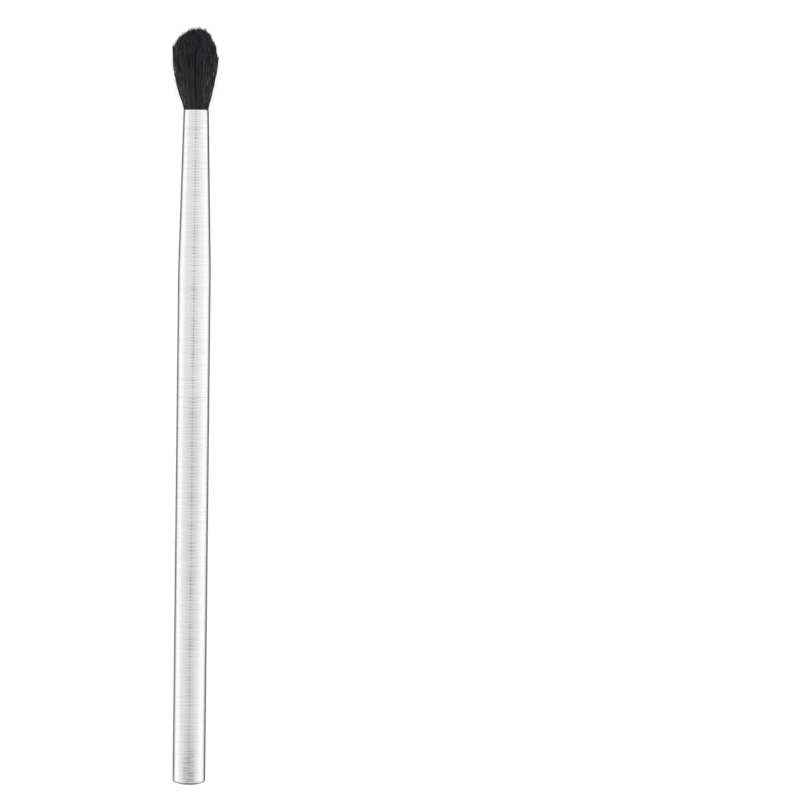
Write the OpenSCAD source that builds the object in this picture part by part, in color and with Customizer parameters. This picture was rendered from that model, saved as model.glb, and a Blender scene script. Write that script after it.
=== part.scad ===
// Eyeshadow brush, lying on its side with the hair towards +X and the butt towards -X.
// Every piece is drawn upright, with the closed end of the handle at the origin and the hair on top,
// and is then laid down. The photograph's left side of the hair is the +Y side.

/* [Handle] */
// Outer diameter of the handle and of the ferrule's straight part
brush_d = 7; // [6.2:0.1:9]
// Length of the handle tube, from its closed end to the seam
handle_len = 83; // [60:1:120]
// Wall of the handle tube
handle_wall = 0.5; // [0.3:0.05:0.8]
// Thickness of the handle's closed end
butt_wall = 1; // [0.6:0.1:2]
// Radius round the edge of the closed end
butt_edge_r = 0.8; // [0.3:0.1:1.2]
// Radius of the shallow crown on the closed end
butt_crown_r = 9.5; // [7:0.5:20]
// Radius inside, between the bore and the closed end
butt_inner_r = 0.4; // [0.1:0.05:0.6]
// Chamfer on the two rims that meet at the seam
seam_chamfer = 0.1; // [0.05:0.01:0.2]

/* [Ferrule] */
// Length of the ferrule, from the seam to the mouth
ferrule_len = 61.6; // [45:0.2:80]
// Length of the ferrule's straight part, before it tapers
straight_len = 27.2; // [15:0.2:35]
// Outer diameter of the ferrule at its mouth
mouth_d = 5.4; // [4.6:0.1:6]
// Wall of the ferrule
ferrule_wall = 0.3; // [0.2:0.05:0.5]

/* [Core] */
// Gap that the adhesive fills between the core and each tube
glue_gap = 0.1; // [0.05:0.01:0.15]
// Distance from the spigot's end to the start of the ferrule's taper
spigot_gap = 2.2; // [1:0.2:8]
// Air left between the core and the closed end of the handle
core_gap = 0.6; // [0.2:0.1:3]
// Chamfer at both ends of the core
core_chamfer = 0.5; // [0.2:0.1:1]
// Number of glue grooves at each end of the core
groove_count = 3; // [1:1:3]
// Width of a glue groove
groove_w = 1.2; // [0.6:0.1:2]
// Depth of a glue groove
groove_depth = 0.2; // [0.1:0.05:0.4]
// Distance from one glue groove to the next
groove_pitch = 4; // [3:0.2:5]

/* [Hair] */
// Length of the hair above the ferrule's mouth
hair_reach = 17.6; // [15:0.2:22]
// Length of the hair that is set in the ferrule
root_len = 10.6; // [8:0.2:14]
// Clearance between the hair's root and the inside of the ferrule
root_clear = 0.03; // [0.01:0.01:0.05]
// Depth of the root's flat top below the ferrule's mouth
root_sink = 0.1; // [0.05:0.05:0.3]
// Diameter of the tuft at its widest, over the outermost corners of its strands
belly_d = 9.8; // [7:0.1:12]
// Height of the widest place above the mouth
belly_up = 10.9; // [8:0.1:13]
// Height above the mouth at which the outermost hairs end
shoulder_up = 11.8; // [10:0.1:14]
// How far the tuft bulges towards +Y at its widest
belly_offset = 0.42; // [0:0.02:0.8]
// How far the crest of the dome lies towards -Y
crest_offset = 0.3; // [0:0.05:0.6]
// Depth of the flat that the hair rests on when the brush lies down
rest_flat = 0.5; // [0.3:0.05:0.8]
// Number of rings of hair. Their strands number six times its square
hair_rings = 8; // [8:1:9]

/* [Binding and glue] */
// Thickness of the binding thread
thread_d = 0.22; // [0.1:0.02:0.3]
// Number of turns of thread round the root
thread_turns = 6; // [3:1:8]
// Distance from the mouth down to the middle of the binding
thread_down = 5; // [3:0.2:6]
// Thickness of the epoxy plug under the hair, at its rim
plug_len = 2.6; // [1.2:0.2:5]
// Depth of the hollow that the epoxy set with
plug_dip = 0.6; // [0.2:0.1:1]

/* [Hidden] */

// Facets of round faces
round_fn = 96;
// Overrun of every cut past the face it leaves
cut = 0.5;

// Radii and stations along the axis that the pieces share
brush_r = brush_d / 2;
mouth_r = mouth_d / 2;
handle_bore_r = brush_r - handle_wall;
ferrule_bore_r = brush_r - ferrule_wall;
seam_at = handle_len;
taper_at = seam_at + straight_len;
mouth_at = seam_at + ferrule_len;
taper_len = ferrule_len - straight_len;
total_len = mouth_at + hair_reach;

// Inside radius of the ferrule at a station on its taper
function taper_bore_r(at) = ferrule_bore_r - (brush_r - mouth_r) * (at - taper_at) / taper_len;

// The rim of the mouth is rounded over most of its wall
rim_round_share = 0.8;
rim_r = rim_round_share * ferrule_wall;

// The closed end: its edge circle touches both the wall and the crown from inside
edge_x = brush_r - butt_edge_r;
edge_up = butt_crown_r - sqrt(pow(butt_crown_r - butt_edge_r, 2) - pow(edge_x, 2));
crown_edge_x = edge_x * butt_crown_r / (butt_crown_r - butt_edge_r);

// The core fills the handle, and its thicker spigot fills the ferrule
core_foot = butt_wall + core_gap;
core_head = taper_at - spigot_gap;
core_r = handle_bore_r - glue_gap;
spigot_r = ferrule_bore_r - glue_gap;

// Stations of the glue grooves, counted from each end of the core
handle_grooves = [for (i = [1 : groove_count]) core_foot + i * groove_pitch];
ferrule_grooves = [for (i = [1 : groove_count]) core_head - i * groove_pitch];

// The root of the hair, upwards from its foot
root_foot = mouth_at - root_len;
bind_len = thread_turns * thread_d;
bind_at = mouth_at - thread_down;

// Envelope of the tuft at a height above the mouth: it flares like a sine up to the belly
belly_r = belly_d / 2;
neck_r = mouth_r - ferrule_wall - root_clear;
function flare_r(up) = neck_r + (belly_r - neck_r) * sin(90 * min(max(up / belly_up, 0), 1));
// The whole tuft leans towards +Y, most at the belly
function lean(up) = belly_offset * sin(90 * max(up, 0) / belly_up);

// The root's disc is cut into triangles: ring k of their corners has six times k, evenly spaced
sectors = 6;
function corners_within(ring) = 1 + sectors * ring * (ring + 1) / 2;
function corner_index(ring, i) = ring == 0 ? 0 : corners_within(ring - 1) + i % (sectors * ring);
function corner_spot(ring, i) =
    let (turn = ring == 0 ? 0 : 360 / sectors * i / ring)
    ring / hair_rings * [cos(turn), sin(turn)];
corners = [for (ring = [0 : hair_rings], i = [0 : max(sectors * ring - 1, 0)]) corner_spot(ring, i)];
corner_count = corners_within(hair_rings);
rim_corners = sectors * hair_rings;

// Each cell is three corners, anticlockwise from above: some have an edge outwards, the rest a point
cells = [for (ring = [1 : hair_rings], sector = [0 : sectors - 1], i = [0 : ring - 1], kind = [0, 1])
    let (inner = sector * (ring - 1) + i, outer = sector * ring + i)
    if (kind == 0)
        [corner_index(ring - 1, inner), corner_index(ring, outer), corner_index(ring, outer + 1)]
    else if (i < ring - 1)
        [corner_index(ring - 1, inner), corner_index(ring, outer + 1), corner_index(ring - 1, inner + 1)]];

// Every cell carries one strand with as many sides, thinner at each level and pointed at its tip
sides = 3;
level_shares = [0, 0.4, 0.8];
thick_shares = [0.82, 0.76, 0.6];
levels = len(level_shares);
// How much the strands differ in length, and how far a tip strays in its cell
length_spread_share = 0.08;
stray_share = 0.5;
length_seed = 11;
stray_seed = 23;
length_rolls = rands(0, 1, len(cells), length_seed);
stray_rolls = rands(-1, 1, 2 * len(cells), stray_seed);

function middle(spots) = (spots[0] + spots[1] + spots[2]) / sides;
function toward(spot, goal, share) = goal + share * (spot - goal);

// Height of the dome over a place on the unit disc, with its crest moved towards -Y
crest_shift = (crest_offset + lean(hair_reach)) / belly_r;
function dome_up(spot) =
    let (moved = [spot.x, spot.y + crest_shift * (1 - spot * spot)],
         out = min(moved * moved, 1))
    shoulder_up + (hair_reach - shoulder_up) * sqrt(1 - out);

// A place on the unit disc goes to its real place at a height, pressed in where the hair rests
flat_x = belly_r - rest_flat;
function press(x, y, r) =
    let (reach = sqrt(max(r * r - y * y, 0)))
    x > 0 && reach > flat_x ? x * flat_x / reach : x;
function hair_spot(spot, up) =
    let (r = flare_r(up), x = spot.x * r, y = spot.y * r)
    [press(x, y, r), y + lean(up), up];

// The points of one strand: a triangle at each level, and the tip
function strand_points(cell, i) =
    let (spots = [for (c = cell) corners[c]],
         core_spot = middle(spots),
         top = dome_up(core_spot) * (1 - length_spread_share * length_rolls[i]),
         stray = stray_share / hair_rings * [stray_rolls[2 * i], stray_rolls[2 * i + 1]] / 2,
         span = top + root_sink)
    concat([for (level = [0 : levels - 1], s = spots)
                hair_spot(toward(s, core_spot, thick_shares[level]), level_shares[level] * span - root_sink)],
           [hair_spot(core_spot + stray, top)]);

// The root below the strands: rings of the rim's corners, with a waist for the binding
waist_r = taper_bore_r(bind_at) - root_clear - thread_d;
root_rings = [
    [taper_bore_r(bind_at + bind_len / 2 + thread_d) - root_clear, bind_at + bind_len / 2 + thread_d],
    [waist_r, bind_at + bind_len / 2],
    [waist_r, bind_at - bind_len / 2],
    [taper_bore_r(bind_at - bind_len / 2 - thread_d) - root_clear, bind_at - bind_len / 2 - thread_d],
    [taper_bore_r(root_foot) - root_clear, root_foot]];

hair_points = concat(
    [for (spot = corners) hair_spot(spot, -root_sink)],
    [for (i = [0 : len(cells) - 1], p = strand_points(cells[i], i)) p],
    [for (ring = root_rings, i = [0 : rim_corners - 1])
        [ring[0] * corner_spot(hair_rings, i).x, ring[0] * corner_spot(hair_rings, i).y,
         ring[1] - mouth_at]],
    [[0, 0, root_foot - mouth_at]]);

// First point of a strand, and a point of the root's rings, where ring 0 is the rim of the flat top
strand_size = levels * sides + 1;
function strand_start(i) = corner_count + strand_size * i;
function root_index(ring, i) =
    ring == 0 ? corner_index(hair_rings, i)
    : strand_start(len(cells)) + (ring - 1) * rim_corners + i % rim_corners;

// Two triangles between a stretch of one ring of points and the same stretch of the next
function band(a, a_next, b, b_next) = [[a, a_next, b_next], [a, b_next, b]];
function cell_faces(cell, start) = [for (i = [0 : sides - 1])
    let (next = (i + 1) % sides)
    each band(cell[i], cell[next], start + i, start + next)];
function strand_faces(start) = concat(
    [for (level = [0 : levels - 2], i = [0 : sides - 1])
        let (low = start + sides * level, high = low + sides, next = (i + 1) % sides)
        each band(low + i, low + next, high + i, high + next)],
    [for (i = [0 : sides - 1])
        let (top = start + sides * (levels - 1))
        [top + i, top + (i + 1) % sides, start + strand_size - 1]]);

hair_faces = concat(
    [for (i = [0 : len(cells) - 1], f = cell_faces(cells[i], strand_start(i))) f],
    [for (i = [0 : len(cells) - 1], f = strand_faces(strand_start(i))) f],
    [for (ring = [1 : len(root_rings)], i = [0 : rim_corners - 1])
        each band(root_index(ring, i), root_index(ring, i + 1),
                  root_index(ring - 1, i), root_index(ring - 1, i + 1))],
    [for (i = [0 : rim_corners - 1])
        [root_index(len(root_rings), i + 1), root_index(len(root_rings), i), len(hair_points) - 1]]);

// The lying brush stands on the flat under its hair, so the axis is this high
rest_up = max([for (p = hair_points) p.x]);

echo(strands = len(cells), hair_triangles = len(hair_faces), rest_up = rest_up);

module lay_down() {
    translate([-total_len / 2, 0, rest_up]) rotate([0, 90, 0]) children();
}

// A band of metal, glue or air round the axis: a profile in radius and height
module ring_band(r_in, r_out, from, to) {
    translate([r_in, from]) square([r_out - r_in, to - from]);
}

// Closed end with an edge radius and a crown, then a plain tube with a chamfered rim
module handle_profile() {
    polygon([[0, edge_up], [brush_r, edge_up], [brush_r, seam_at - seam_chamfer],
             [brush_r - seam_chamfer, seam_at], [0, seam_at]]);
    translate([edge_x, edge_up]) circle(r = butt_edge_r, $fn = round_fn);
    intersection() {
        translate([0, butt_crown_r]) circle(r = butt_crown_r, $fn = round_fn);
        ring_band(0, crown_edge_x, 0, edge_up + butt_edge_r);
    }
}

// The bore is flat at the closed end, with a rounded corner
module handle_bore_profile() {
    corner_x = handle_bore_r - butt_inner_r;
    corner_up = butt_wall + butt_inner_r;
    ring_band(0, handle_bore_r, corner_up, seam_at + cut);
    ring_band(0, corner_x, butt_wall, corner_up + cut);
    translate([corner_x, corner_up]) circle(r = butt_inner_r, $fn = round_fn);
}

module handle_tube() {
    color("silver") lay_down() difference() {
        rotate_extrude($fn = round_fn) handle_profile();
        rotate_extrude($fn = round_fn) handle_bore_profile();
    }
}

// Straight from the seam, then drawn down to the mouth, whose outer edge is rounded
module ferrule_profile() {
    taper_deg = atan((brush_r - mouth_r) / (taper_len - rim_r));
    rim_x = mouth_r - rim_r;
    rim_up = mouth_at - rim_r;
    polygon([[0, seam_at], [brush_r - seam_chamfer, seam_at], [brush_r, seam_at + seam_chamfer],
             [brush_r, taper_at], [rim_x + rim_r * cos(taper_deg), rim_up + rim_r * sin(taper_deg)],
             [rim_x, rim_up], [rim_x, mouth_at], [0, mouth_at]]);
    translate([rim_x, rim_up]) circle(r = rim_r, $fn = round_fn);
}

module ferrule() {
    color("lightgray") lay_down() difference() {
        rotate_extrude($fn = round_fn) ferrule_profile();
        translate([0, 0, seam_at - cut])
            cylinder(r = ferrule_bore_r, h = straight_len + cut, $fn = round_fn);
        translate([0, 0, taper_at])
            cylinder(r1 = ferrule_bore_r, r2 = taper_bore_r(mouth_at + cut), h = taper_len + cut,
                     $fn = round_fn);
    }
}

// Turned core: a body for the handle and a thicker spigot whose shoulder seats on the handle's rim
module core_profile() {
    difference() {
        polygon([[0, core_foot], [core_r - core_chamfer, core_foot], [core_r, core_foot + core_chamfer],
                 [core_r, seam_at], [spigot_r, seam_at], [spigot_r, core_head - core_chamfer],
                 [spigot_r - core_chamfer, core_head], [0, core_head]]);
        for (at = handle_grooves) ring_band(core_r - groove_depth, core_r + cut, at, at + groove_w);
        for (at = ferrule_grooves) ring_band(spigot_r - groove_depth, spigot_r + cut, at - groove_w, at);
    }
}

module core_dowel() {
    color("burlywood") lay_down() rotate_extrude($fn = round_fn) core_profile();
}

// Set glue round the core's body, with a rib in each groove
module handle_adhesive() {
    color("khaki") lay_down() rotate_extrude($fn = round_fn) {
        ring_band(core_r, handle_bore_r, core_foot + core_chamfer, seam_at);
        for (at = handle_grooves) ring_band(core_r - groove_depth, handle_bore_r, at, at + groove_w);
    }
}

// Set glue round the spigot, with a rib in each groove
module ferrule_adhesive() {
    color("khaki") lay_down() rotate_extrude($fn = round_fn) {
        ring_band(spigot_r, ferrule_bore_r, seam_at, core_head - core_chamfer);
        for (at = ferrule_grooves)
            ring_band(spigot_r - groove_depth, ferrule_bore_r, at - groove_w, at);
    }
}

// One closed solid: the glued root, with every strand growing out of its flat top
module hair_tuft() {
    color("#2b2d2f") lay_down() translate([0, 0, mouth_at])
        polyhedron(points = hair_points, faces = [for (f = hair_faces) [f[2], f[1], f[0]]]);
}

// Epoxy that seals the foot of the root. It set with a hollow on the side away from the hair
module glue_plug() {
    plug_r = taper_bore_r(root_foot);
    plug_foot = root_foot - plug_len;
    dip_r = (pow(plug_r, 2) + pow(plug_dip, 2)) / (2 * plug_dip);
    color("goldenrod") lay_down() difference() {
        translate([0, 0, plug_foot])
            cylinder(r1 = taper_bore_r(plug_foot), r2 = plug_r, h = plug_len, $fn = round_fn);
        translate([0, 0, plug_foot + plug_dip - dip_r]) sphere(r = dip_r, $fn = round_fn);
    }
}

// Binding thread, drawn as the ribbed band that its turns make round the root's waist
module root_thread() {
    thread_r = thread_d / 2;
    band_share = 0.7;
    color("ivory") lay_down() rotate_extrude($fn = round_fn) {
        ring_band(waist_r, waist_r + band_share * thread_d, bind_at - bind_len / 2,
                  bind_at + bind_len / 2);
        for (i = [0 : thread_turns - 1])
            translate([waist_r + thread_r, bind_at - bind_len / 2 + (i + 1 / 2) * thread_d])
                circle(r = thread_r, $fn = round_fn);
    }
}

handle_tube();
ferrule();
core_dowel();
handle_adhesive();
ferrule_adhesive();
hair_tuft();
glue_plug();
root_thread();
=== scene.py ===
import math

import bpy
import numpy as np
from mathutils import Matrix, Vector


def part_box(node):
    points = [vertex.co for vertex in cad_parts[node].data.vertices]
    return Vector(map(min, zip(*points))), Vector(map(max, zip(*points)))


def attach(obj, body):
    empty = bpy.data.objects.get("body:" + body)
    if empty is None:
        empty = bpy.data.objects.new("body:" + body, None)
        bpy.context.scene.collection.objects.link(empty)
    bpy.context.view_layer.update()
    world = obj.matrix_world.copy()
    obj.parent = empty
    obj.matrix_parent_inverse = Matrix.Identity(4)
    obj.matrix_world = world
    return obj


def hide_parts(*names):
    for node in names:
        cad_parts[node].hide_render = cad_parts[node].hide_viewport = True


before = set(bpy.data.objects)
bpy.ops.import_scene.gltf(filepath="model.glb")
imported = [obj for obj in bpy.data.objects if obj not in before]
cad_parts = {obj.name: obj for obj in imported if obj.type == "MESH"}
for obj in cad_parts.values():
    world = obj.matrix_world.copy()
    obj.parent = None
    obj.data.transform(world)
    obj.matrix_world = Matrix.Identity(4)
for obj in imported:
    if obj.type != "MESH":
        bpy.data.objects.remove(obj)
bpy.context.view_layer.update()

# Handle tube: drawn aluminium with a closed, slightly crowned end, turned bright all round.
# It slides over the wooden core and is glued there. Its side is plain bright metal all along.
MM = 0.001
TURNS = 192                                   # facets round every turned piece
NEAR_EDGE = 0.03 * MM                         # from an edge to the ring of points beside it
SAME_POINT, SHARP_DEG = 1e-7, 35
METAL = (0.89, 0.89, 0.88, 1.0)
METAL_DARKER = (0.84, 0.84, 0.83, 1.0)
# The third colour is for the dark marks by the butt: partly wear, partly a painted reflection of
# the dark band along the metal's middle.
METAL_WORN_SHADED = (0.42, 0.43, 0.4, 1.0)
METAL_ROUGH, METAL_SMEAR = (0.14, 0.2), 0.1
BAND_SCALE = (420.0, 40.0, 40.0)              # noise to the metre, along x, y and z
SCRATCH_SCALE = (3600.0, 70.0, 70.0)
MARK_SCALE = (3800.0, 420.0, 420.0)
SHALLOW_DEEP, GLOSSY_DULL = (0.38, 0.62), (0.3, 0.7)         # the bands' noise at both ends
DARKER_PLAIN, MARKED_PLAIN = (0.36, 0.5), (0.43, 0.53)       # the scratches' and the marks'
BAND_DRIFT, SCRATCH_DRIFT = 2.0, 0.6          # how far noise moves the scallops, in scallops
SCALLOP_HEIGHT = (2.0, 4.2)
SCALLOP_DEPTH, SCRATCH_DEPTH = 0.034 * MM, 0.014 * MM
# The marks by the butt are painted reflection as well as wear: they are kept to the middle of the
# upper and lower side, where the metal reflects a dark band.
WEAR_SHADE_SHARE, WEAR_SHADE_LEAST = 0.52, 0.03
WEAR_LONG, WEAR_FULL = 9 * MM, 5 * MM         # from the butt
WEAR_SHADE_HALF, WEAR_SHADE_OUT = 0.75 * MM, 1.5 * MM     # from the middle of the upper side
HANDLE_FEED = 0.66 * MM

handle_low, handle_high = (np.array(corner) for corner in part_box("handle_tube"))
axis_up = (handle_low[2] + handle_high[2]) / 2
brush_r = (handle_high[2] - handle_low[2]) / 2
butt_x, seam_x = handle_low[0], handle_high[0]
handle_wall, butt_wall, butt_inner_r = 0.5 * MM, 1.0 * MM, 0.4 * MM
butt_edge_r, butt_crown_r = 0.8 * MM, 9.5 * MM
seam_chamfer = 0.05 * MM


def arc(centre, radius, start_deg, end_deg, steps):
    """Points on a circle in the plane of x and radius: centre plus radius times (cosine, sine)."""
    turn = np.radians(np.linspace(start_deg, end_deg, steps))
    return np.stack([centre[0] + radius * np.cos(turn), centre[1] + radius * np.sin(turn)], axis=1)


def stretch(start, end, steps):
    """Points evenly spaced on the straight line between two points, and one more close to each end,
    which keeps the shading flat right up to the edges."""
    long = math.dist(start, end)
    near = NEAR_EDGE / long
    share = np.unique(np.concatenate([np.linspace(0, 1, steps), [near, 1 - near]]))
    return (1 - share[:, None]) * np.array(start) + share[:, None] * np.array(end)


def outline(*runs):
    """The runs one after the other, with points that repeat the one before left out."""
    points = np.concatenate([np.atleast_2d(run) for run in runs])
    step = np.linalg.norm(np.diff(points, axis=0), axis=1)
    return points[np.concatenate([[True], step > SAME_POINT])]


def mesh_piece(name, points, faces, material, uv=None):
    """A smooth-shaded object at the origin from points, faces and a (u, v) for each face corner."""
    mesh = bpy.data.meshes.new(name)
    mesh.from_pydata(points.tolist(), [], faces)
    mesh.polygons.foreach_set("use_smooth", np.ones(len(mesh.polygons), dtype=bool))
    if uv is not None:
        layer = mesh.uv_layers.new(name="place")
        layer.data.foreach_set("uv", np.asarray(uv, dtype=np.float32).ravel())
    mesh.materials.append(material)
    mesh.set_sharp_from_angle(angle=math.radians(SHARP_DEG))
    mesh.update()
    piece = bpy.data.objects.new(name, mesh)
    bpy.context.scene.collection.objects.link(piece)
    return piece


def turned(name, profile, material, closed):
    """A profile of (x, radius) turned about the brush's axis. Point (i, j) lies at profile point i
    and at the angle j * 360 / TURNS, so y and z are the radius times its cosine and sine. A profile
    that isn't closed starts and ends on the axis, and each end is one point with a fan of faces."""
    rings = profile if closed else profile[1:-1]
    angle = np.arange(TURNS) * 2 * math.pi / TURNS
    ring_y = rings[:, 1:2] * np.cos(angle)
    ring_z = rings[:, 1:2] * np.sin(angle) + axis_up
    ring_x = np.repeat(rings[:, 0:1], TURNS, axis=1)
    points = np.stack([ring_x, ring_y, ring_z], axis=2).reshape(-1, 3)
    far = np.concatenate([[0], np.cumsum(np.linalg.norm(np.diff(rings, axis=0), axis=1))])
    count = len(rings)
    row = np.arange(count if closed else count - 1)[:, None]
    col = np.arange(TURNS)[None, :]
    next_row, next_col = (row + 1) % count, (col + 1) % TURNS
    corners = [(row, col), (row, next_col), (next_row, next_col), (next_row, col)]
    faces = np.stack([np.broadcast_to(r * TURNS + c, (len(row), TURNS)) for r, c in corners],
                     axis=2).reshape(-1, 4)
    reach = np.append(far, far[-1] + np.linalg.norm(rings[0] - rings[-1]))
    u = [np.broadcast_to(reach[row + step], (len(row), TURNS)) for step in (0, 0, 1, 1)]
    v = [np.broadcast_to((col + step) / TURNS, (len(row), TURNS)) for step in (0, 1, 1, 0)]
    uv = np.stack([np.stack(u, axis=2), np.stack(v, axis=2)], axis=3).reshape(-1, 2)
    face_list = faces.tolist()
    if not closed:
        ends = np.array([[end[0], 0, axis_up] for end in (profile[0], profile[-1])])
        points = np.concatenate([points, ends])
        first, last = len(points) - 2, len(points) - 1
        around, after = np.arange(TURNS), (np.arange(TURNS) + 1) % TURNS
        low = (count - 1) * TURNS
        face_list += np.stack([np.full(TURNS, first), after, around], axis=1).tolist()
        face_list += np.stack([np.full(TURNS, last), low + around, low + after], axis=1).tolist()
        share = np.arange(TURNS) / TURNS
        for middle, edge, way in ((-far[1], far[0], 1), (far[-1] + far[1], far[-1], -1)):
            here = np.stack([np.full(TURNS, edge), share], axis=1)
            there = np.stack([np.full(TURNS, edge), share + 1 / TURNS], axis=1)
            pole = np.stack([np.full(TURNS, middle), share + 0.5 / TURNS], axis=1)
            order = (pole, there, here) if way == 1 else (pole, here, there)
            uv = np.concatenate([uv, np.stack(order, axis=1).reshape(-1, 2)])
    return mesh_piece(name, points, face_list, material, uv)


def node(tree, kind, **values):
    """A new shader node with its named sockets or properties set, or linked to another's output."""
    made = tree.nodes.new(kind)
    for key, value in values.items():
        label = key.replace("_", " ")
        fits = [s for s in made.inputs if s.name.lower() == label.lower() and s.enabled]
        socket = fits[0] if fits else None
        if isinstance(value, bpy.types.NodeSocket):
            tree.links.new(value, socket)
        elif socket is not None:
            socket.default_value = value
        else:
            setattr(made, key, value)
    return made


def maths(tree, operation, *values):
    """One step of arithmetic on numbers or other nodes' outputs."""
    step = node(tree, "ShaderNodeMath", operation=operation)
    for socket, value in zip(step.inputs, values):
        if isinstance(value, bpy.types.NodeSocket):
            tree.links.new(value, socket)
        else:
            socket.default_value = value
    return step.outputs[0]


def spread(tree, value, low, high, to_low=0.0, to_high=1.0):
    """The value carried from one range to another, and held at its ends."""
    return node(tree, "ShaderNodeMapRange", value=value, from_min=low, from_max=high,
                to_min=to_low, to_max=to_high).outputs["Result"]


def noise_on(tree, place, scale, **values):
    """Noise over a place whose axes are scaled first, so that it is drawn out along some of them
    and fine along the others."""
    scaled = node(tree, "ShaderNodeMapping", vector=place, scale=scale)
    noise = node(tree, "ShaderNodeTexNoise", vector=scaled.outputs["Vector"], scale=1.0, **values)
    return noise.outputs["Fac"]


def mixed(tree, factor, first, second, how="MIX"):
    """A colour made of two, each written out or another node's output, by a factor."""
    mix = node(tree, "ShaderNodeMix", data_type="RGBA", blend_type=how, factor=factor)
    for socket, colour in ((mix.inputs[6], first), (mix.inputs[7], second)):
        if isinstance(colour, bpy.types.NodeSocket):
            tree.links.new(colour, socket)
        else:
            socket.default_value = colour
    return mix.outputs[2]


def finish_of(name):
    """A new material, its node tree and its Principled shader."""
    material = bpy.data.materials.new(name)
    material.use_nodes = True
    tree = material.node_tree
    return material, tree, tree.nodes["Principled BSDF"]


def turned_aluminium(name, feed):
    """Bright aluminium turned round the brush. The tool's feed leaves scallops side by side, whose
    height is the square of the way from their middle. Noise makes them uneven in width and depth.
    Finer scratches run between them, and their slopes smear the shine along the brush. Noise tints
    the metal a little and varies its gloss. By the butt, where the brush is set down, the metal has
    short dull marks on its upper and lower side. They are partly wear and partly a painted
    reflection of the dark band that the metal shows along its middle there."""
    material, tree, metal = finish_of(name)
    place = node(tree, "ShaderNodeTexCoord").outputs["Object"]
    bands = noise_on(tree, place, BAND_SCALE, detail=3.0)
    scratches = noise_on(tree, place, SCRATCH_SCALE, detail=3.0, roughness=0.65)
    marks = noise_on(tree, place, MARK_SCALE, detail=2.0)
    way = node(tree, "ShaderNodeSeparateXYZ", vector=place).outputs
    along, aside = way["X"], maths(tree, "ABSOLUTE", way["Y"])
    evenly = maths(tree, "DIVIDE", along, feed)
    drifted = maths(tree, "MULTIPLY_ADD", bands, BAND_DRIFT, evenly)
    uneven = maths(tree, "MULTIPLY_ADD", scratches, SCRATCH_DRIFT, drifted)
    off_middle = maths(tree, "SUBTRACT", maths(tree, "FRACT", uneven), 0.5)
    scallop = maths(tree, "MULTIPLY", maths(tree, "POWER", off_middle, 2.0),
                    spread(tree, bands, *SHALLOW_DEEP, *SCALLOP_HEIGHT))
    rings = node(tree, "ShaderNodeBump", height=scallop, strength=1.0, distance=SCALLOP_DEPTH)
    cuts = node(tree, "ShaderNodeBump", height=scratches, strength=1.0, distance=SCRATCH_DEPTH,
                normal=rings.outputs["Normal"])
    tree.links.new(cuts.outputs["Normal"], metal.inputs["Normal"])
    # Painted reflection with the wear: dark marks by the butt, only along the middle of the upper
    # and lower side.
    near_butt = spread(tree, along, butt_x + WEAR_LONG, butt_x + WEAR_FULL, 0.0, WEAR_SHADE_SHARE)
    wear_and_shade_by_middle = maths(tree, "MULTIPLY", near_butt,
                      spread(tree, aside, WEAR_SHADE_HALF, WEAR_SHADE_OUT, 1.0, WEAR_SHADE_LEAST))
    worn_and_shaded = maths(tree, "MULTIPLY", wear_and_shade_by_middle, spread(tree, marks, *MARKED_PLAIN, 1.0, 0.0))
    tint = mixed(tree, spread(tree, scratches, *DARKER_PLAIN), METAL_DARKER, METAL)
    tree.links.new(mixed(tree, worn_and_shaded, tint, METAL_WORN_SHADED), metal.inputs["Base Color"])
    tree.links.new(spread(tree, bands, *GLOSSY_DULL, *METAL_ROUGH), metal.inputs["Roughness"])
    smear = node(tree, "ShaderNodeTangent", direction_type="UV_MAP", uv_map="place")
    tree.links.new(smear.outputs["Tangent"], metal.inputs["Tangent"])
    metal.inputs["Metallic"].default_value = 1.0
    metal.inputs["Anisotropic"].default_value = METAL_SMEAR
    return material


edge_r = brush_r - butt_edge_r
edge_x = butt_x + butt_crown_r - math.sqrt((butt_crown_r - butt_edge_r) ** 2 - edge_r ** 2)
crown_x = butt_x + butt_crown_r
crown_deg = math.degrees(math.asin(edge_r / (butt_crown_r - butt_edge_r)))
bore_r = brush_r - handle_wall
floor_x = butt_x + butt_wall
handle_profile = outline(
    arc((crown_x, 0), butt_crown_r, 180, 180 - crown_deg, steps=20),
    arc((edge_x, edge_r), butt_edge_r, 180 - crown_deg, 90, steps=20),
    stretch((edge_x, brush_r), (seam_x - seam_chamfer, brush_r), steps=24),
    (seam_x, brush_r - seam_chamfer),
    (seam_x, bore_r),
    stretch((seam_x, bore_r), (floor_x + butt_inner_r, bore_r), steps=6),
    arc((floor_x + butt_inner_r, bore_r - butt_inner_r), butt_inner_r, 90, 180, steps=8),
    (floor_x, 0))
handle = turned("handle", handle_profile, turned_aluminium("handle_aluminium", HANDLE_FEED),
                closed=False)
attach(handle, "root")
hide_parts("handle_tube")

# Ferrule: aluminium tube of the handle's diameter, drawn down to the mouth that grips the hair.
# Its plain end meets the handle at the seam, and the rim of its mouth is rounded over.
FERRULE_FEED = 0.60 * MM
ferrule_wall, mouth_r, taper_far = 0.3 * MM, 2.7 * MM, 27.2 * MM
mouth_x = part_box("ferrule")[1][0]
rim_r = 0.8 * ferrule_wall
taper_x = seam_x + taper_far
rim_x, rim_centre_r = mouth_x - rim_r, mouth_r - rim_r
taper_deg = math.degrees(math.atan((brush_r - mouth_r) / (rim_x - taper_x)))
taper_slope = (brush_r - mouth_r) / (mouth_x - taper_x)
blend = 1.5 * MM


def drawn_radius(x):
    """Outer radius along the ferrule: the straight part's, less the taper's slope times a distance
    that starts from zero with a short parabola, so that the drawn metal has no crease there."""
    past = np.clip(x - taper_x + blend, 0, None)
    eased = np.where(past < 2 * blend, past ** 2 / (4 * blend), past - blend)
    return brush_r - taper_slope * eased


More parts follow.
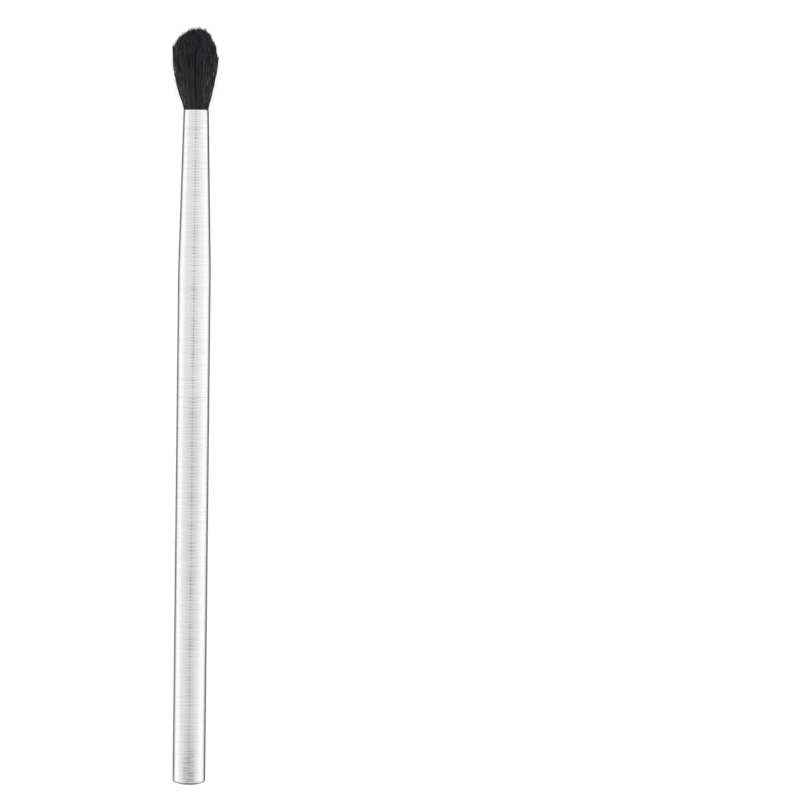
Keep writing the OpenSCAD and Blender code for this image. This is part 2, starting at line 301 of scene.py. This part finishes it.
rim_start_x = rim_x + rim_r * math.sin(math.radians(taper_deg))
taper_run = np.linspace(taper_x - blend, rim_start_x, num=40)
ferrule_profile = outline(
    (seam_x, brush_r - seam_chamfer),
    stretch((seam_x + seam_chamfer, brush_r), (taper_x - blend, brush_r), steps=10),
    np.stack([taper_run, drawn_radius(taper_run)], axis=1),
    arc((rim_x, rim_centre_r), rim_r, 90 - taper_deg, 0, steps=14),
    (mouth_x, mouth_r - ferrule_wall),
    stretch((mouth_x, mouth_r - ferrule_wall), (taper_x, brush_r - ferrule_wall), steps=8),
    (seam_x, brush_r - ferrule_wall))
ferrule = turned("ferrule_tube", ferrule_profile,
                 turned_aluminium("ferrule_aluminium", FERRULE_FEED), closed=True)
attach(ferrule, "root")
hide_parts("ferrule")

# Hair: several thousand tapered black hairs, glued in the ferrule and cut to no edge, so their own
# tips make the dome, and a few long ones stand out of it. They flare from the mouth, gather in
# small locks, and bulge to one side, where some bundles are drawn in below the belly.
ROOT_SEED, LOCK_SEED = 5, 140
hair_reach, belly_up, hair_foot = 17.7, 10.9, -0.6          # millimetres above the mouth
shoulder_up, shoulder_lean, crest_share, dome_power = 11.7, 1.6, 0.1, 0.54
neck_r, belly_r, belly_offset, waist_share = 2.48, 4.83, 0.29, 0.12
hair_count, bundle_count, lock_count = 6600, 130, 480
hair_r, tip_r, taper_from, hair_thick = 0.034, 0.028, 0.85, (0.75, 1.2)
HAIR_STEPS, HAIR_SIDES, TIP_CROWD = 10, 3, 1.7
BUNDLE_LONG = (0.98, 1.016)                   # lengths are shares of the dome's height
LOCK_LONG, LOCK_LONGER, LOCK_POWER = 0.962, 0.050, 1.5
OWN_LONG, OWN_LONGER, OWN_POWER = 0.985, 0.045, 7
ROOT_ASIDE, BUNDLE_ASIDE, LOCK_ASIDE = 0.006, 0.02, 0.008    # shares of the tuft's radius
BUNDLE_DRIFT, OWN_DRIFT, GATHER, GATHER_POWER = 0.03, 0.022, 0.72, 4
BUNDLE_WAVE, BUNDLE_WAVE_LONG = 0.010, 8.5
OWN_WAVE, OWN_WAVE_LONG = 0.012, (5, 11)
DRAWN_IN, DRAWN_IN_UP, DRAWN_IN_LONG, DRAWN_IN_BY = 0.1, 8.1, 1.2, (0.3, 1.4)
HAIR_BLACK, HAIR_GREY = (0.004, 0.0042, 0.0044, 1), (0.040, 0.040, 0.039, 1)
# Painted cool tint of the light, on the colour and the shine of the hairs across the tuft's middle.
HAIR_PAINTED_COOL, HAIR_PAINTED_COOL_SHINE = (0.75, 1.0, 1.08, 1), (0.8, 1.0, 1.05, 1)
# The second colour is for painted glints: pale flecks where a hair would catch the light.
HAIR_DUST, HAIR_PAINTED_GLINT = (0.011, 0.010, 0.010, 1), (0.46, 0.46, 0.455, 1)
HAIR_ROUGH, HAIR_SHINE = (0.34, 0.62), 0.4
FLECK_SCALE, FLECK_NOISE = (480.0, 4200.0, 4200.0), (0.54, 0.66)
DUST_UP, FLECKS_UP, FLECKS_LEAST = (10 * MM, 17 * MM), (9 * MM, 14 * MM), 0.2
FLECK_SHARE, FLECK_RANGE, PAINTED_COOL_WIDE = 0.9, (-0.9, 1.2), 0.5


def sunflower(count):
    """Places spread evenly on the unit disc: point k lies at the root of (k + 1/2) / count, turned
    by k golden angles."""
    k = np.arange(count)
    r, turn = np.sqrt((k + 0.5) / count), k * math.pi * (3 - math.sqrt(5))
    return np.stack([r * np.cos(turn), r * np.sin(turn)], axis=1)


def flare(up):
    """Radius of the tuft at a height above the mouth: a quarter sine wave from neck to belly, drawn
    in a little halfway."""
    turn = math.pi / 2 * np.clip(up / belly_up, 0, 1)
    return neck_r + (belly_r - neck_r) * np.sin(turn) * (1 - waist_share * np.sin(2 * turn))


def dome(spot):
    """Height of the hair's tips over a place on the unit disc: nearly an ellipse over the shoulder,
    which is higher on the side that the tuft leans to. Its crest is moved the other way."""
    inside = 1 - (spot ** 2).sum(axis=-1)
    moved = spot + np.stack([crest_share * inside, 0 * inside], axis=-1)
    out = np.clip((moved ** 2).sum(axis=-1), 0, 1)
    shoulder = shoulder_up + shoulder_lean * spot[..., 0]
    return shoulder + (hair_reach - shoulder) * (1 - out) ** dome_power


def placed(spot, up):
    """A place on the unit disc and a height above the mouth, in the part's frame in metres. The
    disc grows with the flare and leans to +Y. It is pressed flat below, where the hair rests."""
    r = flare(up)
    side, over = spot[..., 0] * r, spot[..., 1] * r
    reach = np.sqrt(np.clip(r ** 2 - side ** 2, 1e-6, None))
    flat = axis_up / MM - hair_r
    over = np.where((over < 0) & (reach > flat), over * flat / reach, over)
    lean = belly_offset * np.sin(math.pi / 2 * np.clip(up, 0, None) / belly_up)
    return np.stack([mouth_x / MM + up, side + lean, axis_up / MM + over], axis=-1) * MM


def fibres(paths, thickness, turn):
    """Closed three-sided tubes along the paths: each ring of corners is the path's point plus its
    thickness times the cosine and sine of a turn, on two directions square to the path. The last
    point of each path is the hair's tip."""
    count, steps = paths.shape[:2]
    ahead = np.gradient(paths, axis=1)
    ahead /= np.linalg.norm(ahead, axis=2, keepdims=True)
    side = np.cross(ahead, np.array([0.0, 0.0, 1.0]))
    side /= np.linalg.norm(side, axis=2, keepdims=True)
    over = np.cross(ahead, side)
    angle = turn[:, None, None] + np.arange(HAIR_SIDES) * 2 * math.pi / HAIR_SIDES
    round_it = (np.cos(angle)[..., None] * side[:, :-1, None]
                + np.sin(angle)[..., None] * over[:, :-1, None])
    rings = paths[:, :-1, None] + thickness[:, :-1, None, None] * round_it
    points = np.concatenate([rings.reshape(count, -1, 3), paths[:, -1:]], axis=1).reshape(-1, 3)
    size = (steps - 1) * HAIR_SIDES + 1
    start = np.arange(count)[:, None, None] * size
    low = np.arange(steps - 2)[None, :, None] * HAIR_SIDES
    here = np.arange(HAIR_SIDES)[None, None, :]
    there = (here + 1) % HAIR_SIDES
    quads = np.stack([start + low + here, start + low + there, start + low + HAIR_SIDES + there,
                      start + low + HAIR_SIDES + here], axis=3).reshape(-1, 4)
    top = (steps - 2) * HAIR_SIDES
    tips = np.stack(np.broadcast_arrays(start + top + here, start + top + there, start + size - 1),
                    axis=3).reshape(-1, 3)
    feet = (start[:, 0] + np.arange(HAIR_SIDES)[::-1]).reshape(-1, HAIR_SIDES)
    return points, quads.tolist() + tips.tolist() + feet.tolist(), size


def black_hair():
    """Charcoal hair: each hair's own tone runs from near black to dark grey. A painted cool tint of
    the light lies on the colour and the shine of the hairs across the middle of the tuft, more in
    some bundles. Short pale flecks are painted glints, where a hair would catch the light, mostly
    on the tuft's two sides: they are noise stretched along the hair, and fade out under the dome,
    where the tips are dustier."""
    material, tree, shader = finish_of("black_hair")
    tone, painted_cool, painted_glint = (node(tree, "ShaderNodeAttribute", attribute_name=label).outputs["Fac"]
                         for label in ("hair_tone", "hair_painted_cool", "hair_painted_glint"))
    place = node(tree, "ShaderNodeTexCoord").outputs["Object"]
    along = node(tree, "ShaderNodeSeparateXYZ", vector=place).outputs["X"]
    marks = noise_on(tree, place, FLECK_SCALE, detail=2.0, roughness=0.6)
    painted_cooler = mixed(tree, painted_cool, mixed(tree, tone, HAIR_BLACK, HAIR_GREY), HAIR_PAINTED_COOL, "MULTIPLY")
    dust = spread(tree, along, *(mouth_x + up for up in DUST_UP))
    dusty = mixed(tree, dust, painted_cooler, HAIR_DUST, "ADD")
    low_down = spread(tree, along, *(mouth_x + up for up in FLECKS_UP), 1.0, FLECKS_LEAST)
    lit = maths(tree, "MULTIPLY", spread(tree, marks, *FLECK_NOISE), painted_glint)
    flecked = mixed(tree, maths(tree, "MULTIPLY", lit, low_down), dusty, HAIR_PAINTED_GLINT)
    tree.links.new(flecked, shader.inputs["Base Color"])
    tree.links.new(spread(tree, marks, 0, 1, *HAIR_ROUGH), shader.inputs["Roughness"])
    tree.links.new(mixed(tree, painted_cool, (1, 1, 1, 1), HAIR_PAINTED_COOL_SHINE), shader.inputs["Specular Tint"])
    shader.inputs["Specular IOR Level"].default_value = HAIR_SHINE
    return material


def nearest(spots, centres):
    """For each place, the number of the centre that is nearest to it."""
    return np.argmin(((spots[:, None] - centres[None]) ** 2).sum(axis=2), axis=1)


def kept_inside(spots):
    """Places drawn back onto the unit disc where they fall outside it."""
    return spots / np.maximum(np.linalg.norm(spots, axis=-1, keepdims=True), 1)


def at_side(spots, start, wide):
    """How far to either side places on the unit disc are: zero up to start, and one from start and
    wide together."""
    return np.clip((np.abs(spots[:, 0]) - start) / wide, 0, 1)


def heights(tops):
    """Heights of each hair's points above the mouth, by their shares of the way to its top."""
    return hair_foot + (tops[:, None] - hair_foot) * share[..., 0]


dice = np.random.default_rng(ROOT_SEED)
lock_dice = np.random.default_rng(LOCK_SEED)
roots = kept_inside(sunflower(hair_count) + dice.normal(0, ROOT_ASIDE, (hair_count, 2)))
bundles = sunflower(bundle_count) + lock_dice.normal(0, BUNDLE_ASIDE, (bundle_count, 2))
locks = kept_inside(sunflower(lock_count) + lock_dice.normal(0, LOCK_ASIDE, (lock_count, 2)))
bundle_of, lock_of = nearest(roots, bundles), nearest(roots, locks)
bundle_long = lock_dice.uniform(*BUNDLE_LONG, bundle_count)
bundle_drift = lock_dice.normal(0, BUNDLE_DRIFT, (bundle_count, 2))
bundle_tone = lock_dice.uniform(0, 1, bundle_count)
bundle_cool = lock_dice.uniform(0, 1, bundle_count)
bundle_wave = lock_dice.uniform(0, 2 * math.pi, (bundle_count, 2))
lock_long = LOCK_LONG + LOCK_LONGER * lock_dice.uniform(0, 1, lock_count) ** LOCK_POWER

# A hair's points crowd towards its tip, because only the last stretch of it narrows to a point.
share = 1 - (1 - np.linspace(0, 1, HAIR_STEPS)[None, :, None]) ** TIP_CROWD
own_long = OWN_LONG + OWN_LONGER * dice.uniform(0, 1, hair_count) ** OWN_POWER
ups = heights(dome(roots) * bundle_long[bundle_of] * lock_long[lock_of] * own_long)
gather = GATHER * share ** GATHER_POWER
spots = roots[:, None] * (1 - gather) + locks[lock_of][:, None] * gather
spots = spots + bundle_drift[bundle_of][:, None] * share ** 2
spots = spots + dice.normal(0, OWN_DRIFT, (hair_count, 1, 2)) * share
bundle_turn = 2 * math.pi * ups[..., None] / BUNDLE_WAVE_LONG + bundle_wave[bundle_of][:, None]
own_turn = 2 * math.pi * (ups[..., None] / dice.uniform(*OWN_WAVE_LONG, (hair_count, 1, 1))
                          + dice.uniform(0, 1, (hair_count, 1, 2)))
spots = spots + (BUNDLE_WAVE * np.sin(bundle_turn) + OWN_WAVE * np.sin(own_turn)) * share
# Bundles on the fuller side are drawn in round one height, each by an amount of its own.
drawn_in = DRAWN_IN * (DRAWN_IN_BY[0] + DRAWN_IN_BY[1] * bundle_tone[bundle_of][:, None])
drawn_in = drawn_in * np.exp(-((ups - DRAWN_IN_UP) / DRAWN_IN_LONG) ** 2)
spots = spots * (1 - drawn_in[..., None] * np.clip(roots[:, None, :1], 0, 1) ** 3)
hair_paths = placed(kept_inside(spots), ups)

taper = np.interp(share[0, :, 0], [0, taper_from, 1], [1, 1, tip_r / hair_r])
thick = hair_r * dice.uniform(*hair_thick, (hair_count, 1)) * taper[None] * MM
# Half of a hair's tone is its bundle's, and half its own.
tone = np.clip(0.5 * bundle_tone[bundle_of] ** 2 + 0.5 * dice.uniform(0, 1, hair_count) ** 3, 0, 1)
# Painted cool tint of the light: strongest across the middle of the tuft, and more in some bundles.
painted_cool = np.clip((0.5 + bundle_cool[bundle_of]) * np.exp(-(roots[:, 0] / PAINTED_COOL_WIDE) ** 2), 0, 1)
# Painted glints: pale flecks given to hairs on the tuft's two sides, each by a random amount.
own_fleck = dice.uniform(*FLECK_RANGE, hair_count)
painted_glint = np.clip(FLECK_SHARE * at_side(roots, start=0.3, wide=0.45) * own_fleck, 0, 1)
finish = {"hair_tone": tone, "hair_painted_cool": painted_cool, "hair_painted_glint": painted_glint}
turns = dice.uniform(0, 2 * math.pi, hair_count)
hair_material = black_hair()


def hair_piece(name, chosen, paths, thickness, turn, finish):
    """One piece of the tuft from the chosen hairs, with their tones, painted cool tint and painted
    glints kept as attributes.
    """
    points, faces, size = fibres(paths[chosen], thickness[chosen], turn[chosen])
    piece = mesh_piece(name, points, faces, hair_material)
    for label, values in finish.items():
        layer = piece.data.attributes.new(label, "FLOAT", "POINT")
        layer.data.foreach_set("value", np.repeat(values[chosen], size).astype(np.float32))
    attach(piece, "root")
    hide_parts("hair_tuft")


far_out = np.linalg.norm(roots, axis=1)
for name, low, high in (("hair_core", 0, 0.62), ("hair_middle", 0.62, 0.86),
                        ("hair_outer", 0.86, 1.1)):
    hair_piece(name, (far_out >= low) & (far_out < high), hair_paths, thick, turns, finish)

# Stray hairs: small wisps round the tuft's outside that end short of the dome and stand off the
# rest a little, as on any brush that has been handled. They are the same hair, glued in with it.
STRAY_SEED, STRAYS_TOGETHER = 29, 5
# Each group has its count of wisps, the way they face in radians, the height of their tops, both
# with their spread, and how far they stand out. No top is much higher than the dome's rim.
STRAYS = ((16, 0.0, 0.2, 9.1, 0.8, 0.05), (4, 0.05, 0.12, 13.6, 0.5, 0.036),
          (6, 3.14, 0.15, 11.7, 0.35, 0.02), (40, 0.0, 0.16, 5.0, 1.2, 0.07),
          (80, 3.14, 0.16, 7.5, 3.0, 0.052), (70, 1.57, 1.2, 9.0, 3.0, 0.012))
STRAY_OVER, STRAY_LEAN, STRAY_LOWEST = 1.05, 1.25, 1.5
STRAY_ROOT, STRAY_THIN, STRAY_ASIDE, STRAY_BEND = 0.99, 0.8, 0.012, 8
WISP_OUT, STRAY_OUT, STRAY_TURN, STRAY_TOP = (0.3, 1.2), (0.5, 1.0), 0.02, 0.25
STRAY_TONE, STRAY_FLECK = (0, 0.8), (-0.5, 0.9)
stray_dice = np.random.default_rng(STRAY_SEED)
wisps = [(facing + stray_dice.normal(0, wide, many), stray_dice.normal(top, about, many),
          stray_dice.uniform(*WISP_OUT, many) * out)
         for many, facing, wide, top, about, out in STRAYS]
bearing, stray_top, stray_out = (np.repeat(np.concatenate(row), STRAYS_TOGETHER)
                                 for row in zip(*wisps))
bearing = bearing + stray_dice.normal(0, STRAY_TURN, bearing.shape)
stray_top = stray_top + stray_dice.normal(0, STRAY_TOP, bearing.shape)
stray_out = stray_out * stray_dice.uniform(*STRAY_OUT, bearing.shape)
stray_most = shoulder_up + STRAY_OVER + STRAY_LEAN * np.cos(bearing)
stray_top = np.clip(stray_most - np.abs(stray_most - stray_top), STRAY_LOWEST, None)
stray_count = len(bearing)
stray_roots = STRAY_ROOT * np.stack([np.cos(bearing), np.abs(np.sin(bearing))], axis=1)
stray_side = stray_dice.normal(0, STRAY_ASIDE, (stray_count, 1, 2)) * share ** 2
stray_bend = 1 + stray_out[:, None, None] * share ** STRAY_BEND
stray_paths = placed(stray_roots[:, None] * stray_bend + stray_side, heights(stray_top))
stray_thick = STRAY_THIN * hair_r * taper[None] * MM * np.ones((stray_count, 1))
# The strays get painted glints on the tuft's sides as well, and no painted cool tint.
stray_finish = {
    "hair_tone": stray_dice.uniform(*STRAY_TONE, stray_count),
    "hair_painted_cool": np.zeros(stray_count),
    "hair_painted_glint": (at_side(stray_roots, start=0.35, wide=0.5)
                   * stray_dice.uniform(*STRAY_FLECK, stray_count))}
hair_piece("hair_strays", np.ones(stray_count, dtype=bool), stray_paths, stray_thick,
           stray_dice.uniform(0, 6, stray_count), stray_finish)

# Inside, the wooden core and its glue join the handle to the ferrule, and thread and epoxy hold
# the hair's root. They never show on a whole brush, and keep their CAD shapes with plain finishes.
GRAIN_BUMP, GRAIN_DEPTH = 0.3, 0.02 * MM


def grained(name, light, dark, stretch_by, rough):
    """A matt or glossy solid whose tone follows noise, stretched along the brush for grain."""
    material, tree, shader = finish_of(name)
    place = node(tree, "ShaderNodeTexCoord").outputs["Object"]
    grain = noise_on(tree, place, stretch_by, detail=4.0)
    tree.links.new(mixed(tree, grain, dark, light), shader.inputs["Base Color"])
    bump = node(tree, "ShaderNodeBump", height=grain, strength=GRAIN_BUMP, distance=GRAIN_DEPTH)
    tree.links.new(bump.outputs["Normal"], shader.inputs["Normal"])
    shader.inputs["Roughness"].default_value = rough
    return material


birch = grained("birch", (0.62, 0.45, 0.27, 1), (0.45, 0.29, 0.15, 1), (150, 1400, 1400), 0.6)
set_glue = grained("set_glue", (0.72, 0.62, 0.36, 1), (0.6, 0.5, 0.27, 1),
                   (500, 500, 500), 0.4)
amber_epoxy = grained("amber_epoxy", (0.5, 0.3, 0.08, 1), (0.36, 0.2, 0.05, 1),
                      (400, 400, 400), 0.15)
waxed_thread = grained("waxed_thread", (0.75, 0.7, 0.58, 1), (0.6, 0.55, 0.44, 1),
                       (9000, 900, 900), 0.7)
for name, material in (("core_dowel", birch), ("handle_adhesive", set_glue),
                       ("ferrule_adhesive", set_glue), ("glue_plug", amber_epoxy),
                       ("root_thread", waxed_thread)):
    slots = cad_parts[name].data.materials
    slots.clear()
    slots.append(material)

# Hair root: where the hairs are set in glue inside the ferrule, with the thread's waist in it.
# It is black hair bound by dark glue, and fills the ferrule from the epoxy plug to the mouth.
root_head, root_foot = 0.12, 10.6                           # millimetres below the mouth
bind_down, bind_long, thread_d, root_clear = 5.0, 1.32, 0.22, 0.03


def root_radius(down):
    """Radius of the hair's root at a depth below the mouth: the ferrule's bore less a clearance."""
    return mouth_r / MM - ferrule_wall / MM - root_clear + taper_slope * down


waist_r = root_radius(bind_down) - thread_d
bind_top, bind_low = bind_down - bind_long / 2, bind_down + bind_long / 2
root_shape = np.array([
    (root_head, 0), (root_head, root_radius(0)),
    (bind_top - thread_d, root_radius(bind_top - thread_d)), (bind_top, waist_r),
    (bind_low, waist_r), (bind_low + thread_d, root_radius(bind_low + thread_d)),
    (root_foot, root_radius(root_foot)), (root_foot, 0)])
root_profile = np.stack([mouth_x - root_shape[:, 0] * MM, root_shape[:, 1] * MM], axis=1)[::-1]
root_glue = grained("root_glue", (0.02, 0.02, 0.02, 1), (0.008, 0.008, 0.008, 1),
                    (300, 4000, 4000), 0.5)
root_piece = turned("hair_root", root_profile, root_glue, closed=False)
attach(root_piece, "root")
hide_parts("hair_tuft")

# Floor: a plain pale sheet. It leans a third of a degree, so that the lying brush touches it at
# its butt and at its hair. The camera and the metal see it white, and it keeps the brush's shadow.
FLOOR_TO_CAMERA, FLOOR_TO_METAL, FLOOR_PALE, FLOOR_ROUGH = 0.5, 0.32, (0.88, 0.9), 0.9
half_floor = 6.0
rest_x = mouth_x + 9.5 * MM                   # where the hair touches the floor
floor_slope = (axis_up - brush_r) / (rest_x - edge_x)


def sheet_points(corners, above=0.0):
    """Corners given as (x, y), laid on the leaning floor or at a height above it."""
    return np.array([[x, y, (rest_x - x) * floor_slope + above] for x, y in corners])


floor_material, floor_tree, floor_shader = finish_of("pale_floor")
paper = node(floor_tree, "ShaderNodeTexNoise", scale=40.0, detail=3.0,
             vector=node(floor_tree, "ShaderNodeTexCoord").outputs["Object"])
ray = node(floor_tree, "ShaderNodeLightPath")
to_camera = maths(floor_tree, "MULTIPLY", ray.outputs["Is Camera Ray"], FLOOR_TO_CAMERA)
lift = maths(floor_tree, "MULTIPLY_ADD", ray.outputs["Is Glossy Ray"], FLOOR_TO_METAL, to_camera)
floor_shader.inputs["Emission Color"].default_value = (1, 1, 1, 1)
floor_tree.links.new(lift, floor_shader.inputs["Emission Strength"])
floor_tree.links.new(spread(floor_tree, paper.outputs["Fac"], 0, 1, *FLOOR_PALE),
                     floor_shader.inputs["Base Color"])
floor_shader.inputs["Roughness"].default_value = FLOOR_ROUGH
floor_shader.inputs["Specular IOR Level"].default_value = 0.0
floor = mesh_piece("floor", sheet_points(((-half_floor, -half_floor), (half_floor, -half_floor),
                                          (half_floor, half_floor), (-half_floor, half_floor))),
                   [[0, 1, 2, 3]], floor_material)

# Cards: a dark mat with soft sides on the floor under the brush, and a grey veil over its handle.
# Only the metal's reflections see them: they give it the dark edges that it needs against white.
def card(name, points, faces, level, cover):
    """A thin sheet that only reflections see. It shines at a level of its own, and covers what is
    behind it by a share. Both are worked out from the place on it, along and across the brush."""
    material, tree, shader = finish_of(name)
    tree.nodes.remove(shader)
    place = node(tree, "ShaderNodeSeparateXYZ",
                 vector=node(tree, "ShaderNodeTexCoord").outputs["Object"])
    light = node(tree, "ShaderNodeEmission", color=(1, 1, 1, 1),
                 strength=level(tree, place.outputs["X"], place.outputs["Y"]))
    mix = node(tree, "ShaderNodeMixShader", fac=cover(tree, place.outputs["X"], place.outputs["Y"]))
    tree.links.new(node(tree, "ShaderNodeBsdfTransparent").outputs[0], mix.inputs[1])
    tree.links.new(light.outputs[0], mix.inputs[2])
    tree.links.new(mix.outputs[0], tree.nodes["Material Output"].inputs["Surface"])
    sheet = mesh_piece(name, points, faces, material)
    sheet.visible_camera = sheet.visible_diffuse = sheet.visible_shadow = False
    sheet.visible_transmission = False


MAT_LEFT, MAT_RIGHT = (0.16, 0.13), (0.15, 0.08)      # levels at the seam and at the mouth
MAT_BLEND = 1 * MM                                    # from the middle to each side's own level
END_DARK, END_LIGHT, END_LONG = 0.28, 0.5, 2 * MM     # past the butt
END_DARK_HALF, END_LIGHT_FROM = 2.2 * MM, 3.3 * MM
MAT_FULL, MAT_NONE, MAT_WIDER, MAT_ABOVE = 7 * MM, 14 * MM, 1.12, 0.02 * MM


def mat_level(tree, x, y):
    """Each side of the mat has its own level, which goes down from the seam to the mouth. Past the
    butt the mat is dark in the middle and lighter at both sides."""
    left, right = (spread(tree, x, seam_x, mouth_x, *levels) for levels in (MAT_LEFT, MAT_RIGHT))
    along = maths(tree, "MULTIPLY_ADD", maths(tree, "SUBTRACT", left, right),
                  spread(tree, y, -MAT_BLEND, MAT_BLEND), right)
    beside = spread(tree, maths(tree, "ABSOLUTE", y), END_DARK_HALF, END_LIGHT_FROM,
                    END_DARK, END_LIGHT)
    past_butt = spread(tree, x, butt_x, butt_x - END_LONG)
    return maths(tree, "MULTIPLY_ADD", maths(tree, "SUBTRACT", beside, along), past_butt, along)


def mat_cover(tree, x, y):
    """Full beside the brush and none further out, by the distance from the brush's axis and from
    its butt, and a little wider towards the mouth."""
    behind = maths(tree, "MAXIMUM", maths(tree, "SUBTRACT", butt_x, x), 0.0)
    far = maths(tree, "SQRT", maths(tree, "MULTIPLY_ADD", behind, behind,
                                    maths(tree, "MULTIPLY", y, y)))
    wider = spread(tree, x, taper_x, mouth_x, 1.0, MAT_WIDER)
    return spread(tree, maths(tree, "DIVIDE", far, wider), MAT_FULL, MAT_NONE, 1.0, 0.0)


mat_low, mat_high, mat_half = butt_x - 17 * MM, mouth_x + 5 * MM, 17 * MM
card("mat", sheet_points(((mat_low, -mat_half), (mat_high, -mat_half), (mat_high, mat_half),
                          (mat_low, mat_half)), MAT_ABOVE), [[0, 1, 2, 3]], mat_level, mat_cover)

VEIL_HANDLE, VEIL_BUTT, VEIL_LEVEL = 0.24, 0.42, 0.5
VEIL_BUTT_LONG, VEIL_FADE = 16 * MM, 2 * MM
VEIL_Y, VEIL_WIDE, VEIL_ABOVE = -2.2 * MM, 11.5 * MM, 16 * MM
veil_low, veil_high, veil_half = butt_x - 8 * MM, seam_x + VEIL_FADE, 30 * MM


def veil_cover(tree, x, y):
    """Thickest over the middle of the brush and thinning out to its sides as a bell curve; thin
    over the handle, thicker over its butt, and none over the ferrule."""
    handle_part = spread(tree, x, seam_x - VEIL_FADE, veil_high, VEIL_HANDLE, 0.0)
    butt_part = spread(tree, x, butt_x, butt_x + VEIL_BUTT_LONG, VEIL_BUTT, 0.0)
    out = maths(tree, "DIVIDE", maths(tree, "SUBTRACT", y, VEIL_Y), VEIL_WIDE)
    return maths(tree, "DIVIDE", maths(tree, "ADD", handle_part, butt_part),
                 maths(tree, "EXPONENT", maths(tree, "MULTIPLY", out, out)))


veil_run = ((veil_high, VEIL_ABOVE), (veil_low, VEIL_ABOVE), (veil_low, MM))
card("veil", np.array([[x, y, z] for x, z in veil_run for y in (-veil_half, veil_half)]),
     [[0, 1, 3, 2], [2, 3, 5, 4]], lambda tree, x, y: VEIL_LEVEL, veil_cover)

# World: a plain white tent, a little greyer overhead and brighter at its sides, at the level where
# a colour looks as written. It has a dark hole overhead for the camera, in a beam across the brush.
TENT_LEFT = ((0.0, 1.10), (0.105, 1.08), (0.26, 0.98), (0.39, 0.90), (0.5, 0.865), (0.8, 0.855),
             (0.94, 0.888), (1.0, 0.885))
TENT_RIGHT = ((0.0, 1.11), (0.105, 1.105), (0.26, 1.055), (0.39, 1.005), (0.515, 0.965),
              (0.73, 0.93), (0.88, 0.885), (0.94, 0.898), (1.0, 0.89))
TENT_MOST, TENT_BLEND, OVERHEAD = 1.12, 0.35, (0.5, 0.7)
HOLE_Y, HOLE_WIDE, HOLE_LONG, HOLE_DARK = 0.0186, (0.055, 0.04), (0.18, 0.12), 0.34
BEAM_WIDE, BEAM_LONG, BEAM_DARK = (0.35, 0.25), (0.06, 0.04), 0.34
world = bpy.data.worlds.new("white_tent")
world.use_nodes = True
bpy.context.scene.world = world
sky = world.node_tree
sky.nodes.clear()
way = node(sky, "ShaderNodeSeparateXYZ",
           vector=node(sky, "ShaderNodeTexCoord").outputs["Generated"])


def tent_side(stops):
    """Level of the tent by the height that one looks up to, from (height, level) stops."""
    ramp = node(sky, "ShaderNodeValToRGB")
    sky.links.new(way.outputs["Z"], ramp.inputs["Fac"])
    bands = ramp.color_ramp.elements
    while len(bands) < len(stops):
        bands.new(1.0)
    for band, (position, level) in zip(bands, stops):
        band.position = position
        band.color = (level / TENT_MOST, level / TENT_MOST, level / TENT_MOST, 1)
    return ramp.outputs["Color"]


def within(value, half, soft):
    """One where the value is nearer to zero than half, none past half and soft together."""
    return spread(sky, maths(sky, "ABSOLUTE", value), half, half + soft, 1.0, 0.0)


tent = mixed(sky, spread(sky, way.outputs["Y"], -TENT_BLEND, TENT_BLEND),
             tent_side(TENT_RIGHT), tent_side(TENT_LEFT))
across = maths(sky, "SUBTRACT", way.outputs["Y"], HOLE_Y)
hole = maths(sky, "MULTIPLY", within(across, *HOLE_WIDE), within(way.outputs["X"], *HOLE_LONG))
beam = maths(sky, "MULTIPLY", within(across, *BEAM_WIDE), within(way.outputs["X"], *BEAM_LONG))
shaded = maths(sky, "MULTIPLY_ADD", hole, HOLE_DARK, maths(sky, "MULTIPLY", beam, BEAM_DARK))
overhead = spread(sky, way.outputs["Z"], *OVERHEAD)
left_over = maths(sky, "SUBTRACT", 1.0, maths(sky, "MULTIPLY", shaded, overhead))
room = node(sky, "ShaderNodeBackground", color=tent,
            strength=maths(sky, "MULTIPLY", left_over, TENT_MOST))
white = node(sky, "ShaderNodeBackground", color=(1, 1, 1, 1), strength=1.0)
both = node(sky, "ShaderNodeMixShader")
sky.links.new(node(sky, "ShaderNodeLightPath").outputs["Is Camera Ray"], both.inputs[0])
sky.links.new(room.outputs[0], both.inputs[1])
sky.links.new(white.outputs[0], both.inputs[2])
sky.links.new(both.outputs[0], node(sky, "ShaderNodeOutputWorld").inputs["Surface"])

# Camera: straight above the lying brush, as the photograph looks straight at it, with a long lens.
# The brush stands upright in the frame, hair on top, left of the middle and turned 0.63 degrees.
LENS, SENSOR, FRAME_PX = 500.0, 36.0, 800.0
px_per_m = 4671.0
brush_turn = math.radians(0.63)
brush_mid_px = (192.96, 406.25)
camera_far = LENS / SENSOR * FRAME_PX / px_per_m
roll = -math.pi / 2 + brush_turn
right = np.array([math.cos(roll), math.sin(roll), 0.0])
up_way = np.array([-math.sin(roll), math.cos(roll), 0.0])
brush_mid = np.array([(butt_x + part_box("hair_tuft")[1][0]) / 2, 0.0, axis_up])
aim = (brush_mid + right * (FRAME_PX / 2 - brush_mid_px[0]) / px_per_m
       + up_way * (brush_mid_px[1] - FRAME_PX / 2) / px_per_m)
camera_data = bpy.data.cameras.new("camera")
camera_data.lens = LENS
camera_data.sensor_width = SENSOR
camera_data.clip_start, camera_data.clip_end = 0.05, 50.0
camera = bpy.data.objects.new("camera", camera_data)
camera.location = aim + np.array([0.0, 0.0, camera_far])
camera.rotation_euler = (0.0, 0.0, roll)
bpy.context.scene.collection.objects.link(camera)
bpy.context.scene.camera = camera
bpy.context.scene.view_settings.view_transform = "Standard"
